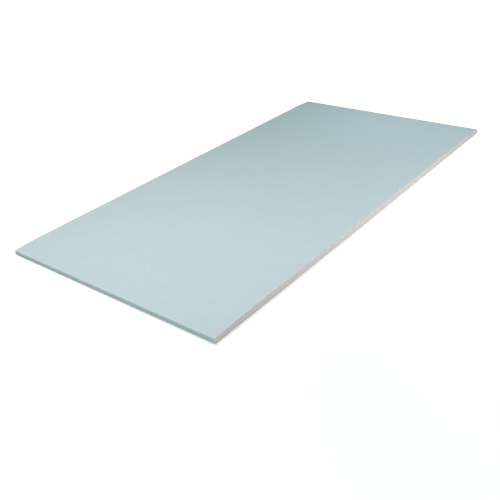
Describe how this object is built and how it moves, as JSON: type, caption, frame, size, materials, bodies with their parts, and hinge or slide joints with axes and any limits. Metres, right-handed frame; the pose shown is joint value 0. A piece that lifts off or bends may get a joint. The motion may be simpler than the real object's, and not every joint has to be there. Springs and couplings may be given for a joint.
{
  "type": "drywall sheet",
  "caption": "Flat rectangular plasterboard sheet with a pale blue paper face, tapered paper-wrapped side edges, bare gypsum at the cut ends and a brown-grey paper back.",
  "frame": {"origin": "middle of the back, on the plane the sheet lies on", "axes": "+X from one paper-wrapped edge to the other, +Y along those edges from cut end to cut end, +Z out of the blue face"},
  "size_m": [1.2, 0.6, 0.015],
  "materials": {
    "gypsum_core": "matte, fine-pored cast gypsum plaster, knife-cut and sawn at the ends",
    "face_paper": "matte smooth-calendered pale blue paper",
    "back_paper": "matte brown-grey recycled liner paper with mottled fibres"
  },
  "bodies": {
    "root": {"gypsum_core": "gypsum_core", "face_paper": "face_paper", "back_paper": "back_paper"}
  },
  "joints": []
}
